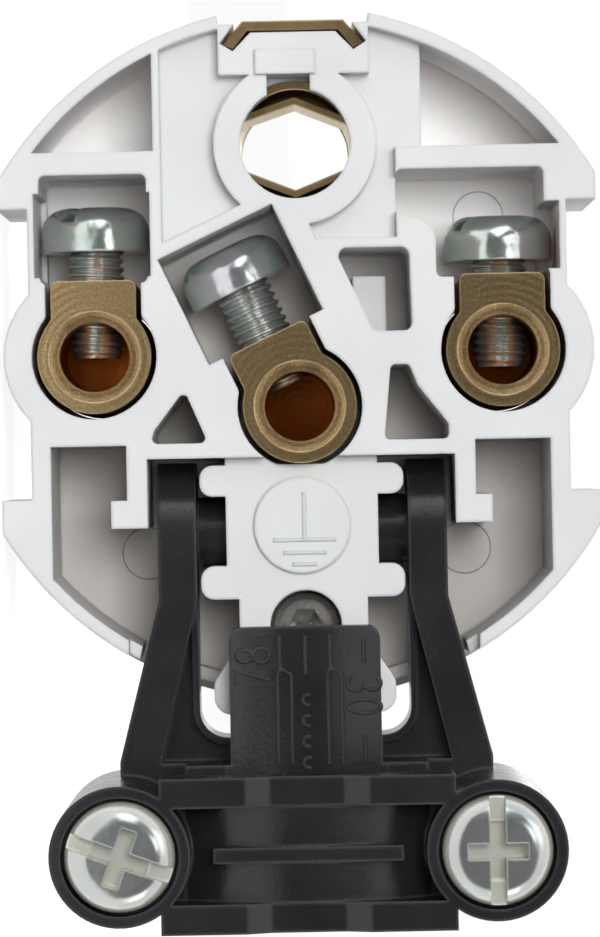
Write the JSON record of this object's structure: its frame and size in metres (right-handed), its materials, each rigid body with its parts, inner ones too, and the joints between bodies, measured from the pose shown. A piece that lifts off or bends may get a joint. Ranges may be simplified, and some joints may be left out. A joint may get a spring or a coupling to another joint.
{
  "type": "angled plug insert",
  "caption": "Open insert of a rewireable angled mains plug with side earth contacts, an earth-pin hole, screw terminals and a hinged cord clamp.",
  "frame": {"origin": "below the middle of the whole plug's box, on the surface that it lies on", "axes": "+X towards the cord end, +Y along the pins towards their tips, +Z across the two live pins, from the line pin to the neutral pin"},
  "size_m": [0.0426, 0.037, 0.0278],
  "materials": {
    "white_moulding": "satin",
    "brass": "satin, machined",
    "brass_sheet": "satin sheet",
    "zinc_screw": "bright zinc plated",
    "steel_screw": "satin",
    "black_moulding": "satin black"
  },
  "bodies": {
    "insert": {"insert_body": "white_moulding", "line_pin": "brass", "neutral_pin": "brass", "earth_terminal": "brass", "earth_bow": "brass_sheet", "earth_pin_sleeve": "brass_sheet", "line_screw": "zinc_screw", "neutral_screw": "zinc_screw", "earth_screw": "zinc_screw", "centre_screw": "steel_screw"},
    "strain_relief": {"strain_relief_frame": "black_moulding", "clamp_saddle": "black_moulding", "clamp_screw_left": "zinc_screw", "clamp_screw_right": "zinc_screw"}
  },
  "joints": [
    {"name": "strain_relief_hinge", "type": "hinge", "parent": "insert", "child": "strain_relief", "pos_m": [0.00326, -0.00695, 0.0139], "axis": [0, 0, -1], "range_deg": [0, 80]}
  ]
}
